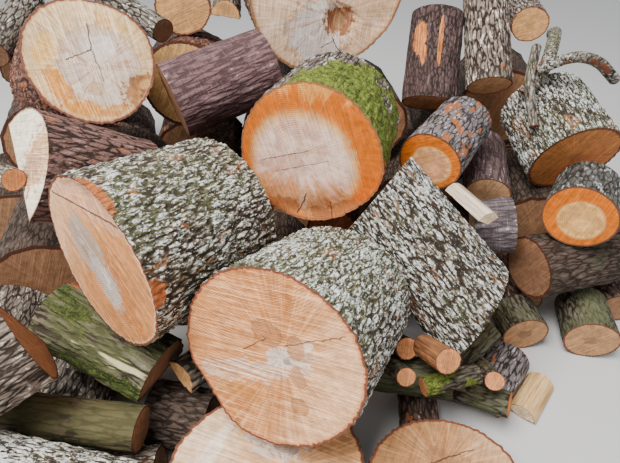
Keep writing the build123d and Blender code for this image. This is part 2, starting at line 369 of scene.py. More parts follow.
def outline(corners, centre, across, up, angles):
    """Points of an end's outline at the given angles round its centre."""
    flat = np.stack([(corners - centre) @ across, (corners - centre) @ up], axis=1)
    edge = np.roll(flat, -1, axis=0) - flat
    ways = np.stack([np.cos(angles), np.sin(angles)], axis=1)
    below = edge[:, 0] * ways[:, 1:2] - edge[:, 1] * ways[:, 0:1]
    below = np.where(np.abs(below) < 1e-9, 1e-9, below)
    share = (ways[:, 0:1] * flat[:, 1] - ways[:, 1:2] * flat[:, 0]) / below
    reach = (flat[:, 1] * edge[:, 0] - flat[:, 0] * edge[:, 1]) / below
    reach = np.where((share >= -hair) & (share <= 1 + hair) & (reach > 0), reach, 0)
    side = reach.argmax(axis=1)
    share = share[np.arange(len(angles)), side][:, None]
    rim = corners[side] * (1 - share) + np.roll(corners, -1, axis=0)[side] * share
    for angle, corner in sharp_corners(corners, centre, across, up):
        rim[int(round(angle / tau * len(angles))) % len(angles)] = corner
    return rim


def sharp_corners(corners, centre, across, up):
    """The angle and place of each sharp corner of an end, in order."""
    before = corners - np.roll(corners, 1, axis=0)
    after = np.roll(corners, -1, axis=0) - corners
    bend = (before * after).sum(axis=1) / (np.linalg.norm(before, axis=1) * np.linalg.norm(after, axis=1))
    found = corners[bend < sharp_cosine]
    angles = np.arctan2((found - centre) @ up, (found - centre) @ across) % tau
    return sorted(zip(angles, found), key=lambda pair: pair[0])


def flat_spans(rim, angles):
    """For each stretch of an outline, whether it lies on a flat split side."""
    count = len(rim)
    flat = np.zeros(count, bool)
    marks = [int(round(angle / tau * count)) % count for angle in angles]
    for first, last in zip(marks, marks[1:] + marks[:1]):
        span = np.arange(first, last if last > first else last + count) % count
        chord = rim[last] - rim[first]
        width = np.linalg.norm(chord)
        off = np.linalg.norm(np.cross(rim[span] - rim[first], chord), axis=1) / width
        if off.max() < flat_share * width:
            flat[span] = True
    return flat


def gather(items, name):
    """One vector of each point or face of a mesh."""
    values = np.zeros(len(items) * 3, np.float32)
    items.foreach_get(name, values)
    return values.reshape(-1, 3).astype(float)


def note(mesh, **layers):
    """Keep vectors with the points of a mesh, under the given names."""
    for name, values in layers.items():
        layer = mesh.attributes.get(name) or mesh.attributes.new(name, "FLOAT_VECTOR", "POINT")
        layer.data.foreach_set("vector", np.float32(values).ravel())


def own_axes(axis):
    """A log's own directions: across, down as seen from its near end, and along it."""
    across = np.cross(axis, (0, 0, 1)) if abs(axis[2]) < 0.9 else np.array([1.0, 0, 0])
    across = across - axis * (across @ axis)
    across = across / np.linalg.norm(across)
    return np.stack([across, np.cross(axis, across), axis], axis=1)


def shape_log(source, pattern, tone):
    """Fit a copy of the template to one CAD log and give its points the log's own coordinates.

    rim is the bark point at the same angle, in the log's own frame with z along it, and place the point
    itself. section is the way from the heart, with the distance along. spot holds the share of the
    radius and a tone for the whole log. out_way and end_way are the ways in which the relief moves it.
    """
    ends = ends_of(source.data)
    centres = [centre_of(*end) for end in ends]
    axis = centres[1] - centres[0]
    length = np.linalg.norm(axis)
    axes = own_axes(axis / length)
    across, up = axes[:, 0], axes[:, 1]

    unit = gather(pattern.data.vertices, "co")
    share = np.minimum(np.hypot(unit[:, 0], unit[:, 1]), 1)
    along = unit[:, 2] + 0.5
    side = np.abs(along - 0.5) < 0.5 - hair
    share[side] = 1
    count = int((np.abs(along) < hair)[share > 1 - hair].sum())
    angles = np.arange(count) / count * tau
    rims = [outline(end[0], centre, across, up, angles) for end, centre in zip(ends, centres)]
    index = np.round(np.arctan2(unit[:, 1], unit[:, 0]) % tau / tau * count).astype(int) % count
    along = along[:, None]
    share = share[:, None]
    bark = rims[0][index] * (1 - along) + rims[1][index] * along
    middle = centres[0] * (1 - along) + centres[1] * along
    point = middle + (bark - middle) * share

    piece = pattern.copy()
    piece.data = pattern.data.copy()
    bpy.context.scene.collection.objects.link(piece)
    mesh = piece.data
    mesh.vertices.foreach_set("co", np.float32(point).ravel())
    outward = (bark - middle) @ axes * (1, 1, 0)
    outward = outward / np.linalg.norm(outward, axis=1)[:, None] @ axes.T
    end_way = np.where(along < 0.5, ends[0][1], ends[1][1])
    on_end = ~side[:, None] & (share < 1 - hair)
    shift = tone * tone_shift
    note(
        mesh,
        place=(point - centres[0]) @ axes + shift,
        rim=(bark - centres[0]) @ axes + shift,
        section=np.hstack([(point - middle) @ axes[:, :2], along * length]),
        spot=np.hstack([share, np.full_like(share, tone), np.zeros_like(share)]),
        out_way=outward * share ** 4,
        end_way=np.where(on_end, end_way * (1 - share ** 10), 0),
    )

    corners = [angle for angle, corner in sharp_corners(ends[0][0], centres[0], across, up)]
    flat = flat_spans(rims[0], corners)
    faces = gather(pattern.data.polygons, "center")
    turn = np.arctan2(faces[:, 1], faces[:, 0]) % tau
    slots = np.where(flat[np.floor(turn / tau * count).astype(int) % count], 2, 0)
    slots[np.abs(faces[:, 2]) > 0.5 - hair] = 1
    mesh.polygons.foreach_set("material_index", slots.astype(np.int32))
    return piece


def shape_limb(source, tone):
    """Give a crooked branch an even mesh, and its points coordinates along its general direction."""
    faces = [face for face in source.data.polygons if len(face.vertices) > limb_end_corners]
    ends = [corners_of(source.data, face) for face in faces]
    centres = [corners.mean(axis=0) for corners in ends]
    source.data.materials.clear()
    pick([source])
    remesh = source.modifiers.new("Even mesh", "REMESH")
    remesh.mode = "VOXEL"
    remesh.voxel_size = bpy.context.scene.log_bark.limb_grain
    bpy.ops.object.modifier_apply(modifier=remesh.name)
    mesh = source.data
    axis = centres[1] - centres[0]
    axes = own_axes(axis / np.linalg.norm(axis))
    own = (gather(mesh.vertices, "co") - centres[0]) @ axes
    note(
        mesh,
        rim=own + tone,
        section=own,
        spot=np.full_like(own, (1, tone, 0)),
        out_way=gather(mesh.vertices, "normal"),
        end_way=np.zeros_like(own),
    )
    faces = gather(mesh.polygons, "center")
    slots = np.zeros(len(faces), np.int32)
    for corners, centre in zip(ends, centres):
        normal = np.cross(corners[1] - corners[0], corners[5] - corners[0])
        normal = normal / np.linalg.norm(normal)
        reach = np.linalg.norm(corners[0] - centre)
        near = np.linalg.norm(faces - centre, axis=1) < reach * limb_end_size
        slots[near & (np.abs((faces - centre) @ normal) < limb_end_reach)] = 1
    mesh.polygons.foreach_set("material_index", slots)
    return source


# Relief that is worked into the mesh


def relief(name, depth=1.0, plate=(1.0, 1.0), ragged=0.5, facets=(), pits=()):
    """Geometry nodes that raise the bark ridges and sink the furrows and the hollows of the ends.

    A facet is a part of the sawn end that slopes back: a way on the section, where it starts and its
    slope. A pit is a hollow in the end: its place on the section, its size and its depth.
    """
    settings = bpy.context.scene.log_bark
    saw = bpy.context.scene.log_wood.saw_relief
    tree = bpy.data.node_groups.new(name, "GeometryNodeTree")
    tree.interface.new_socket("Geometry", in_out="INPUT", socket_type="NodeSocketGeometry")
    tree.interface.new_socket("Geometry", in_out="OUTPUT", socket_type="NodeSocketGeometry")
    start = node(tree, "NodeGroupInput", {}, {})
    finish = tree.nodes.new("NodeGroupOutput")

    def named(attribute):
        return node(
            tree, "GeometryNodeInputNamedAttribute", {"data_type": "FLOAT_VECTOR"}, {"Name": attribute},
        )

    rim = named("rim")
    bent = rim.plus(rim.noise(9.0, 2.0, 0.5, "Color").stretch((0.02, 0.02, 0.05)))
    around = plate[0] / settings.ridge_width
    along = plate[1] / settings.ridge_length
    ridges = bent.stretch((around, around, along))
    edge = ridges.cells(1.0, "DISTANCE_TO_EDGE").step(0.02, 0.36)
    grain = ridges.noise(1.4, 4.0, 0.65)
    height = edge * (1 - ragged) + grain.step(0.25, 0.75) * ragged
    swell = rim.stretch((1, 1, 0.5)).noise(5.0, 2.0) - 0.5
    bark = (height - 0.6) * (settings.furrow_depth * depth) + swell * settings.lump

    section = named("section")
    x, y = section.split()[:2]
    push = (section.noise(26.0, 3.0) - 0.5) * saw * 2 + (section.noise(3.5, 1.0) - 0.5) * saw * 6
    for way_x, way_y, begin, slope in facets:
        push = push - (x * way_x + y * way_y - begin).most(0) * slope
    for pit_x, pit_y, size, sunk in pits:
        away = section.stretch((1 / size, 1 / size, 0), (-pit_x / size, -pit_y / size, 0)).length()
        rough = away + (section.noise(60.0, 3.0) - 0.5) * 0.9
        push = push - rough.step(1.1, 0.4) * sunk

    offset = named("out_way").scaled(bark).plus(named("end_way").scaled(push))
    stored = node(
        tree, "GeometryNodeStoreNamedAttribute", {"data_type": "FLOAT", "domain": "POINT"},
        {"Geometry": start, "Name": "relief", "Value": height},
    )
    moved = node(tree, "GeometryNodeSetPosition", {}, {"Geometry": stored, "Offset": offset})
    tree.links.new(moved.socket, finish.inputs[0])
    return tree


def tone_of(name, number):
    """A value from 0 to 1 that differs from log to log."""
    return (sum(ord(letter) for letter in name) * 0.137 + number * 0.618) % 1


def dress(name, pattern, worked, looks):
    """Replace a CAD node by finished logs of the same shape, joined as one piece.

    worked names the relief, and looks are the materials of the bark, the ends and the split faces.
    """
    logs = []
    for number, source in enumerate(cad_logs(name)):
        tone = tone_of(name, number)
        if pattern is None:
            log = shape_limb(source, tone)
        else:
            log = shape_log(source, pattern, tone)
            bpy.data.objects.remove(source)
        for material in looks:
            log.data.materials.append(material)
        logs.append(log)
    pick(logs)
    if len(logs) > 1:
        bpy.ops.object.join()
    piece = bpy.context.view_layer.objects.active
    piece.name = name + "_log"
    piece.data.name = piece.name
    modifier = piece.modifiers.new("Relief", "NODES")
    modifier.node_group = bpy.data.node_groups.get(worked) or relief(worked, *reliefs[worked])
    pick([piece])
    bpy.ops.object.modifier_apply(modifier=modifier.name)
    bpy.ops.object.shade_smooth_by_angle(angle=smooth_angle)
    for spare in ("out_way", "end_way"):
        piece.data.attributes.remove(piece.data.attributes[spare])
    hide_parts(name)
    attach(piece, "root")


def dress_all(grade, rows):
    """Dress several nodes that share one template.

    Each row holds its relief, its bark, its ends and its split faces, if these aren't like the ends.
    """
    pattern = template(grade)
    for name, (worked, *looks) in rows.items():
        dress(name, pattern, worked, (*looks, looks[-1])[:3])
    bpy.data.objects.remove(pattern)


# Materials


def new_material(name):
    """An empty material, with its shader and output joined."""
    material = bpy.data.materials.new(name)
    material.use_nodes = True
    tree = material.node_tree
    tree.nodes.clear()
    shader = tree.nodes.new("ShaderNodeBsdfPrincipled")
    output = tree.nodes.new("ShaderNodeOutputMaterial")
    tree.links.new(shader.outputs[0], output.inputs[0])
    shader.inputs["Specular IOR Level"].default_value = 0.25
    return material, tree, shader


class Surface:
    """A material under way, with the log's coordinates and the patterns that bark and wood share."""

    def __init__(self, name):
        self.material, self.tree, self.shader = new_material(name)
        self.bark = bpy.context.scene.log_bark
        self.wood = bpy.context.scene.log_wood
        self.section = self.read("section")
        self.x, self.y = self.section.split()[:2]
        self.share, self.tone = self.read("spot").split()[:2]
        self.seed = self.section.plus(join(self.tree, self.tone * 3, self.tone * 5, self.tone * 9))
        self.small = self.seed.noise(62.0, 3.0, 0.6)
        self.wide = self.seed.noise(8.0, 3.0, 0.55)
        self.colour = None

    def read(self, name, out="Vector"):
        return node(self.tree, "ShaderNodeAttribute", {"attribute_name": name}, {}, out)

    def lay(self, mask, colour):
        """Lay a colour over what is there."""
        self.colour = mask.over(colour, self.colour)

    def blob(self, centre, size, turn=0, ragged=0.5):
        """1 inside an oval with a ragged edge; a size of 0 leaves that direction out."""
        scale = [1 / part if part else 0 for part in (*size, 0)[:3]]
        c, s = cos(radians(turn)), sin(radians(turn))
        middle = (centre[0] * c + centre[1] * s, centre[1] * c - centre[0] * s, (*centre, 0)[2])
        shift = [-part * factor for part, factor in zip(middle, scale)]
        away = self.section.turned(turn).stretch(scale, shift).length()
        return (away + (self.small - 0.5) * ragged * 2).step(1.1, 0.9)

    def done(self, rough, height, distance):
        """Join colour, roughness and a bump to the shader."""
        toned = self.colour.vector("MULTIPLY", join(self.tree, *[self.tone * 0.2 + 0.9] * 3))
        self.tree.links.new(toned.socket, self.shader.inputs["Base Color"])
        self.tree.links.new(rough.socket, self.shader.inputs["Roughness"])
        bump = node(
            self.tree, "ShaderNodeBump", {},
            {"Height": height, "Strength": 1.0, "Distance": distance}, "Normal",
        )
        self.tree.links.new(bump.socket, self.shader.inputs["Normal"])
        return self.material


class Bark(Surface):
    """Furrowed bark with dark furrows, a body colour and paler ridges. The dark in the furrows is partly the
    bark's own brown and partly painted shade.
    """

    def __init__(self, name, body, ridge, dark=None, plate=(1.0, 1.0)):
        super().__init__(name)
        self.rim = self.read("rim")
        self.height = self.read("relief", "Fac")
        around = 1.7 * plate[0] / self.bark.ridge_width
        along = 1.3 * plate[1] / self.bark.ridge_length
        bent = self.rim.plus(self.rim.noise(30.0, 2.0, 0.5, "Color").stretch((0.008, 0.008, 0.02)))
        self.fine = self.rim.stretch((1, 1, 0.5)).noise(210.0, 3.0, 0.6)
        self.streak = self.rim.stretch((around, around, along)).noise(1.0, 4.0, 0.62)
        scale = bent.stretch((around, around, along)).cells(0.8, "DISTANCE_TO_EDGE").step(0.0, 0.22)
        self.level = self.height * 0.4 + self.streak * 0.35 + scale * 0.25 + (self.fine - 0.5) * 0.35
        # The low places of the relief take the furrow colour, which is partly painted shade
        self.colour = self.level.step(0.32, 0.56).over(body, dark or self.bark.furrow)
        self.lay(self.level.step(0.58, 0.82) * 0.85, ridge)
        self.lay(self.wide.step(0.45, 0.75) * 0.4, shade(body, 0.6))

    def speckle(self, amount, size=0.011, white=None):
        """Lichen crusts on the ridges."""
        crust = self.rim.stretch((1, 1, 0.55)).noise(1 / size, 3.0, 0.62)
        patch = self.rim.stretch((1, 1, 1), (5.0, 0, 0)).noise(7.0, 3.0) - 0.5
        mask = crust + (self.level - 0.5) * 0.42 + patch * 0.28
        limit = 0.70 - amount * 0.2
        self.lay(mask.step(limit, limit + 0.04) * 0.94, white or self.bark.lichen)

    def gaps(self):
        """Small dark gaps that break up the crusts. They take a lighter copy of the furrow colour, partly
        painted shade, and lie more in low places.
        """
        place = self.rim.stretch((1, 1, 0.5), (0, 4.0, 0)).noise(150.0, 3.0, 0.6) + (self.level - 0.5) * 0.35
        # Gap colour: the furrow colour made lighter, partly painted shade
        self.lay(place.step(0.455, 0.41) * 0.8, shade(self.bark.furrow, 1.6))

    def towards(self, way):
        """How far the point lies one way on the log, as across, down and along."""
        return self.section.vector("DOT_PRODUCT", way, out=1)

    def film(self, amount, way=(0, 0, 0), colour=None):
        """A thin green or brown film, more of it towards one side."""
        lean = self.towards(way)
        mask = self.rim.noise(6.0, 3.0, 0.6) + (self.streak - 0.5) * 0.5 + lean
        self.lay(mask.step(0.75 - amount * 0.5, 0.95 - amount * 0.5) * 0.6, colour or self.bark.algae)

    def moss(self, amount, way=(0, 0, 0), strips=1.0, colour=None):
        """Cushions of moss, more of them towards one side and drawn out along the log by strips."""
        colour = colour or self.bark.moss
        tuft = self.rim.noise(260.0, 3.0, 0.7)
        clump = self.rim.noise(60.0, 3.0, 0.6)
        cushion = self.rim.stretch((1, 1, strips)).noise(11.0, 4.0, 0.62)
        lean = self.towards(way)
        cover = (cushion + lean + (clump - 0.5) * 0.3).step(0.72 - amount * 0.4, 0.76 - amount * 0.4)
        green = (tuft * 0.5 + clump * 0.5).step(0.38, 0.64).over(colour, shade(colour, 0.16))
        yellow = self.wide.step(0.45, 0.7) * tuft.step(0.5, 0.7) * 0.6
        green = yellow.over((colour[0] * 1.9, colour[1] * 1.45, colour[2]), green)
        self.lay(cover, green)

    def torn(self, centre, size, colour=None):
        """A patch where the outer bark is torn off."""
        fibre = self.rim.stretch((1, 1, 0.12)).noise(150.0, 3.0, 0.6)
        inside = colour or self.bark.inner_bark
        self.lay(self.blob(centre, size), fibre.step(0.3, 0.7).over(shade(inside, 1.5), shade(inside, 0.45)))

    def scraps(self, amount, colour=None):
        """Small scattered patches of bare inner bark."""
        place = self.rim.stretch((1, 1, 0.5), (3.1, 1.7, 0)).noise(20.0, 3.0, 0.6)
        self.lay(place.step(0.72 - amount * 0.2, 0.76 - amount * 0.2) * 0.8, colour or self.bark.inner_bark)

    def finished(self, distance=0.006):
        return self.done(0.95 - self.level * 0.2, self.level + self.fine * 0.3, distance)


class Sawn(Surface):
    """A sawn end: the wood, then what the saw, the heart and the weather left on it."""

    def __init__(self, name, wood, heart=(0.0, 0.0)):
        super().__init__(name)
        self.colour = self.wide.step(0.35, 0.7).over(shade(wood, 0.86), wood)
        away = self.section.stretch((1, 1, 0), (-heart[0], -heart[1], 0))
        self.reach = away.length() + (self.wide - 0.5) * 0.02
        way = away.vector("NORMALIZE")
        self.ray = way.stretch((26, 26, 0)).plus(join(self.tree, 0, 0, self.reach * 5)).noise(1.0, 3.0, 0.65)
        self.beam = way.stretch((5, 5, 0)).plus(join(self.tree, 7, 0, self.reach * 3)).noise(1.0, 3.0, 0.6)
        self.ring = (self.reach * (tau / self.wood.ring_width) + self.wide * 9).sine() * 0.5 + 0.5
        self.marks = self.small
        self.dug = self.small * 0

    def rays(self, strength, colour, low=0.5, high=0.72):
        """Fine streaks that run out from the heart."""
        self.lay(self.ray.step(low, high) * self.reach.step(0.01, 0.05) * strength, colour)

    def rings(self, strength, colour):
        """Growth rings, fading in and out."""
        self.lay(self.ring * self.seed.noise(17.0, 2.0).step(0.38, 0.62) * strength, colour)

    def saw(self, turn, strength, colour, spacing=0.004):
        """Straight marks of the saw."""
        lines = self.section.turned(turn).stretch((1 / spacing, 6, 0)).noise(1.0, 3.0, 0.6)
        self.marks = lines
        self.lay(lines.step(0.48, 0.72) * strength, colour)

    def arcs(self, centre, spacing, strength, colour):
        """Curved marks of the saw, round a point outside the log."""
        away = self.section.stretch((1, 1, 0), (-centre[0], -centre[1], 0)).length()
        lines = (away * (tau / spacing) + self.wide * 6).sine() * 0.5 + self.ray * 0.5
        self.lay(lines.step(0.35, 0.75) * self.beam.step(0.4, 0.6) * strength, colour)

    def half(self, way, begin, end, strength, colour):
        """A colour that comes in on one side, broken up by the rays."""
        side = self.x * cos(radians(way)) + self.y * sin(radians(way)) + (self.beam - 0.5) * 0.25
        self.lay(side.step(begin, end) * strength, colour)

    def crack(self, start, end, width=0.0022, waver=0.012):
        """A crack from one place to another."""
        run = (end[0] - start[0], end[1] - start[1])
        square = run[0] ** 2 + run[1] ** 2
        x = self.x + (self.wide - 0.5) * waver * 4 - start[0]
        y = self.y + (self.small - 0.5) * waver - start[1]
        share = ((x * run[0] + y * run[1]) / square).most(0).least(1)
        apart = join(self.tree, x - share * run[0], y - share * run[1], 0).length()
        mask = apart.step(width, width * 0.4)
        self.lay(mask * 0.85, self.wood.crack)
        self.dug = self.dug + mask

    def knot(self, centre, size, colour, turn=0):
        """A knot or blotch with a thin dark line round it."""
        grown = [part * 1.12 for part in size]
        self.lay(self.blob(centre, grown, turn, 0.35) * 0.6, shade(colour, 0.35))
        self.lay(self.blob(centre, size, turn, 0.35) * 0.7, colour)

    def weathered(self, centre, size, turn, ragged, grey):
        """A grey patch, in which streaks of the wood and white fibres show."""
        mask = self.blob(centre, size, turn, ragged)
        self.lay(mask * 0.9, grey)
        self.lay(mask * self.beam.step(0.47, 0.6) * 0.7, shade(self.wood.tan, 0.75))
        self.lay(mask * self.small.step(0.50, 0.62) * 0.5, shade(grey, 0.45))
        self.lay(mask * self.ray.step(0.46, 0.34) * 0.45, shade(grey, 1.5))
        self.lay(mask * self.seed.noise(24.0, 3.0, 0.6).step(0.52, 0.62) * 0.6, shade(grey, 1.4))

    def patch(self, centre, size, colour, turn=0, ragged=0.9, strength=1.0):
        self.lay(self.blob(centre, size, turn, ragged) * strength, colour)

    def halo(self, centre, outer, inner, ragged, strength, colour):
        """A stain between two circles."""
        hole = self.blob(centre, (inner, inner), ragged=ragged)
        self.lay(self.blob(centre, (outer, outer), ragged=ragged) * (1 - hole) * strength, colour)

    def rim_of_bark(self, width=0.03, colour=None, inside=None):
        """The bark's edge, with a thin line of cambium inside it."""
        ragged = self.share + (self.small - 0.5) * 0.03
        if inside:
            self.lay(ragged.step(0.96 - width, 0.99 - width) * 0.6, inside)
        self.lay(ragged.step(0.99 - width, 1.005 - width), colour or self.wood.rim)

    def finished(self):
        grain = self.marks.step(0.3, 0.7) * 0.40 + self.small.step(0.3, 0.7) * 0.32 + self.ring * 0.16
        self.colour = self.colour.scaled(grain + self.ray.step(0.3, 0.7) * 0.26 + 0.48)
        height = self.marks * 0.5 + self.small * 0.3 + self.ring * 0.12 + self.ray * 0.15 - self.dug * 1.6
        return self.done(0.62 + self.marks * 0.25, height, 0.0025)


class Torn(Surface):
    """A split face: long torn fibres along the log."""

    def __init__(self, name, pale, dark, coarse=1.0):
        super().__init__(name)
        place = self.read("place")
        self.fibre = place.stretch((1, 1, 0.06)).noise(120.0 / coarse, 4.0, 0.65)
        broad = place.stretch((1, 1, 0.25)).noise(16.0, 3.0, 0.6)
        self.colour = self.fibre.step(0.3, 0.65).over(pale, dark)
        self.lay(broad.step(0.5, 0.7) * 0.6, shade(pale, 0.6))
        self.level = self.fibre + broad

    def finished(self):
        return self.done(0.7 + self.fibre * 0.2, self.level, 0.007)


# Finishes that several logs share


def lichen_bark(name, amount=0.75, torn=(), green=(0, -1.2, 0)):
    """Scaly bark under white lichen crusts, with green and orange-brown between them."""
    bark = Bark(name, (0.165, 0.125, 0.075), (0.32, 0.285, 0.20))
    bark.film(0.4, green)
    bark.scraps(0.6, (0.32, 0.15, 0.065))
    bark.speckle(amount * 0.90, 0.0085, (0.36, 0.37, 0.30))
    bark.speckle(amount * 0.95, 0.0044)
    bark.gaps()
    for centre, size in torn:
        bark.torn(centre, size)
    return bark.finished()


def brown_bark(name, body=(0.16, 0.085, 0.07), ridge=(0.30, 0.20, 0.175), lichen=0.1, scraps=0.3):
    """Ridged bark with bare patches and a few crusts."""
    bark = Bark(name, body, ridge)
    bark.scraps(scraps)
    bark.speckle(lichen, 0.012, shade(ridge, 1.5))
    return bark.finished()


def shade_darkened_bark(name):
    """Dark bark with a dull green film. Its brown is partly the bark's own and partly painted shade, for
    logs that lie in shadow inside and under the heap.
    """
    # Painted shade: body and ridge colours darkened for logs in the heap's shadow
    bark = Bark(name, (0.095, 0.063, 0.046), (0.19, 0.145, 0.115))
    bark.film(0.3, colour=(0.085, 0.088, 0.045))
    return bark.finished()


def dull_end(name, wood=(0.25, 0.125, 0.065)):
    """An old, darkened sawn end."""
    face = Sawn(name, wood)
    face.rings(0.4, shade(wood, 0.5))
    face.rays(0.3, shade(wood, 1.4))
    face.saw(25, 0.3, shade(wood, 1.5))
    face.rim_of_bark(0.07, shade(face.wood.rim, 0.5))
    return face.finished()


def fresh_end(name, wood, centre=None, saw=20):
    """A clean sawn end of a thin log, with a darker or paler heart."""
    face = Sawn(name, wood)
    face.patch((0, 0), (0.02, 0.02), centre or shade(wood, 0.7), ragged=0.6, strength=0.6)
    face.rings(0.45, shade(wood, 0.5))
    face.rays(0.35, shade(wood, 1.35))
    face.saw(saw, 0.35, shade(wood, 1.4))
    face.rim_of_bark(0.06, inside=shade(wood, 0.7))
    return face.finished()


class LOGS_OT_lichen_logs(Operator):
    """Dress the large logs whose bark is covered with lichen"""

    bl_idname = "logs.lichen_logs"
    bl_label = "Lichened logs"

    def left_end(self):
        wood = bpy.context.scene.log_wood
        face = Sawn("salmon_end", (0.64, 0.25, 0.075), (-0.13, -0.14))
        face.half(200, 0.03, 0.17, 0.75, wood.pale)
        face.half(-90, 0.128, 0.140, 0.8, (0.60, 0.33, 0.21))
        face.saw(-48, 0.6, wood.pale, 0.0045)
        face.rays(0.25, shade(wood.tan, 0.6), 0.55, 0.7)
        face.patch((0.06, 0.04), (0.035, 0.12), (0.50, 0.17, 0.045), turn=-35, strength=0.6)
        face.weathered((-0.045, -0.035), (0.06, 0.075), -35, 0.6, (0.44, 0.35, 0.28))
        face.weathered((0.01, 0.035), (0.045, 0.07), -35, 0.7, (0.56, 0.47, 0.41))
        face.crack((-0.17, -0.128), (0.16, -0.146), 0.0026, 0.006)
        face.rim_of_bark(0.028, inside=(0.86, 0.58, 0.38))
        return face.finished()

    def front_end(self):
        wood = bpy.context.scene.log_wood
        face = Sawn("tan_end", wood.tan, (0.03, -0.02))
        face.half(12, 0.0, 0.16, 0.75, wood.pale)
        face.half(215, 0.05, 0.16, 0.5, (0.56, 0.19, 0.05))
        face.rays(0.45, wood.pale, 0.56, 0.7)
        face.rings(0.4, shade(wood.tan, 0.5))
        face.saw(82, 0.65, shade(wood.pale, 1.1), 0.0042)
        face.patch((-0.055, 0.10), (0.07, 0.022), (0.50, 0.20, 0.045), turn=-12, ragged=0.5, strength=0.6)
        face.arcs((-0.10, -0.32), 0.0062, 0.45, shade(wood.pale, 1.15))
        streak = face.blob((-0.06, 0.05), (0.11, 0.028), -22, 0.9) * face.marks.step(0.38, 0.6)
        face.lay(streak * 0.75, (0.84, 0.70, 0.57))
        face.weathered((0.035, -0.022), (0.045, 0.026), -15, 1.0, (0.72, 0.60, 0.52))
        face.weathered((0.065, -0.03), (0.03, 0.045), 20, 1.1, (0.80, 0.62, 0.48))
        face.knot((-0.012, -0.062), (0.034, 0.024), (0.50, 0.20, 0.075), 15)
        face.knot((0.055, -0.055), (0.018, 0.024), (0.56, 0.25, 0.10), -20)
        face.knot((0.070, 0.012), (0.014, 0.024), (0.56, 0.26, 0.12), -30)
        face.knot((0.085, 0.075), (0.021, 0.017), (0.50, 0.22, 0.09), 20)
        face.knot((0.042, -0.016), (0.009, 0.006), (0.36, 0.30, 0.27))
        face.crack((0.03, -0.05), (0.15, -0.12), 0.0012)
        face.crack((-0.06, 0.0), (-0.012, -0.05), 0.0012)
        face.rim_of_bark(0.024, inside=(0.56, 0.19, 0.06))
        return face.finished()

    def execute(self, context):
        end = fresh_end("plain_tan_end", context.scene.log_wood.tan)
        top = ((0.03, -0.19, 0.0), (0.07, 0.04, 0.022))
        side = ((0.196, -0.024, 0.0), (0.04, 0.035, 0.03))
        far = ((0.134, 0.039, 0.342), (0.03, 0.03, 0.03))
        left = lichen_bark("lichen_left", 0.80, (top, side))
        front = lichen_bark("lichen_front", 0.92, green=(0, -1.8, 0))
        right = lichen_bark("lichen_right", 0.92, (far,), (0, 0, 0))
        dress_all("finest", {
            "lichen_log_left": ("lichened_with_facet", left, self.left_end(), end),
            "lichen_log_front": ("lichened", front, self.front_end(), end),
            "lichen_log_right": ("fine_lichened", right, end),
            "lichen_log_far_right": ("lichened", lichen_bark("lichen_far_right", 0.95), end),
        })
        return {"FINISHED"}


